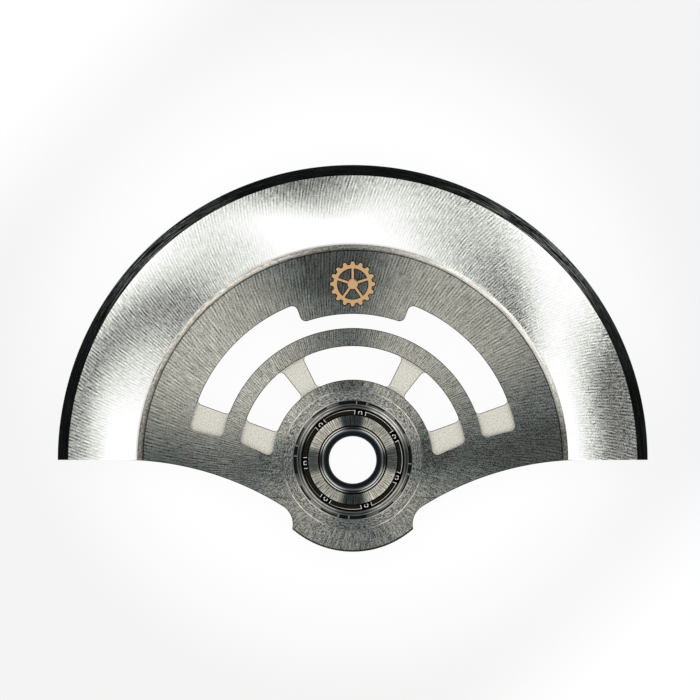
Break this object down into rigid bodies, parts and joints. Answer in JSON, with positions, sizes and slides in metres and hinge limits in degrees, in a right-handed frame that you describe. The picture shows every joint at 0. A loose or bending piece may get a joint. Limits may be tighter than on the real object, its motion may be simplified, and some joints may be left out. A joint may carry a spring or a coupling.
{
  "type": "automatic watch rotor",
  "caption": "Half-round winding rotor of an automatic wrist watch, with a heavy rim, a pierced carrier plate, a ball bearing and a drive gear.",
  "frame": {"origin": "on the axis of rotation at the foot of the bearing's core, level with the underside of the heavy rim", "axes": "+Z along the axis of rotation out of the visible face, +Y towards the middle of the heavy rim, +X along the half disc's diameter"},
  "size_m": [0.028, 0.0184, 0.0016],
  "materials": {
    "plate_metal": "satin",
    "heavy_alloy": "satin",
    "rivet_steel": "satin",
    "gilt": "satin",
    "bearing_steel": "polished",
    "gear_metal": "satin",
    "cage_bronze": "satin",
    "ball_steel": "polished"
  },
  "bodies": {
    "core": {"bearing_core": "bearing_steel", "bearing_cone": "bearing_steel"},
    "rotor": {"carrier_plate": "plate_metal", "heavy_segment": "heavy_alloy", "segment_rivets": "rivet_steel", "gilt_wheel": "gilt", "bearing_outer_ring": "bearing_steel", "drive_gear": "gear_metal"},
    "cage": {"ball_cage": "cage_bronze"},
    "ball_1": {"ball_1": "ball_steel"},
    "ball_2": {"ball_2": "ball_steel"},
    "ball_3": {"ball_3": "ball_steel"},
    "ball_4": {"ball_4": "ball_steel"},
    "ball_5": {"ball_5": "ball_steel"},
    "ball_6": {"ball_6": "ball_steel"},
    "ball_7": {"ball_7": "ball_steel"}
  },
  "joints": [
    {"name": "rotor_spin", "type": "hinge", "parent": "core", "child": "rotor", "pos_m": [0, 0, 0], "axis": [0, 0, 1], "continuous": true},
    {"name": "cage_spin", "type": "hinge", "parent": "core", "child": "cage", "pos_m": [0, 0, 0], "axis": [0, 0, 1], "continuous": true},
    {"name": "ball_1_spin", "type": "hinge", "parent": "cage", "child": "ball_1", "pos_m": [0.00036, 0.00222, 0.001], "axis": [0, 0, 1], "continuous": true},
    {"name": "ball_2_spin", "type": "hinge", "parent": "cage", "child": "ball_2", "pos_m": [-0.00152, 0.00166, 0.001], "axis": [0, 0, 1], "continuous": true},
    {"name": "ball_3_spin", "type": "hinge", "parent": "cage", "child": "ball_3", "pos_m": [-0.00225, -0.00015, 0.001], "axis": [0, 0, 1], "continuous": true},
    {"name": "ball_4_spin", "type": "hinge", "parent": "cage", "child": "ball_4", "pos_m": [-0.00128, -0.00185, 0.001], "axis": [0, 0, 1], "continuous": true},
    {"name": "ball_5_spin", "type": "hinge", "parent": "cage", "child": "ball_5", "pos_m": [0.00064, -0.00216, 0.001], "axis": [0, 0, 1], "continuous": true},
    {"name": "ball_6_spin", "type": "hinge", "parent": "cage", "child": "ball_6", "pos_m": [0.00209, -0.00084, 0.001], "axis": [0, 0, 1], "continuous": true},
    {"name": "ball_7_spin", "type": "hinge", "parent": "cage", "child": "ball_7", "pos_m": [0.00196, 0.00111, 0.001], "axis": [0, 0, 1], "continuous": true}
  ],
  "couplings": [
    {"joint": "cage_spin", "follows": "rotor_spin", "ratio": 0.54811},
    {"joint": "ball_1_spin", "follows": "rotor_spin", "ratio": 5.148},
    {"joint": "ball_2_spin", "follows": "rotor_spin", "ratio": 5.148},
    {"joint": "ball_3_spin", "follows": "rotor_spin", "ratio": 5.148},
    {"joint": "ball_4_spin", "follows": "rotor_spin", "ratio": 5.148},
    {"joint": "ball_5_spin", "follows": "rotor_spin", "ratio": 5.148},
    {"joint": "ball_6_spin", "follows": "rotor_spin", "ratio": 5.148},
    {"joint": "ball_7_spin", "follows": "rotor_spin", "ratio": 5.148}
  ]
}
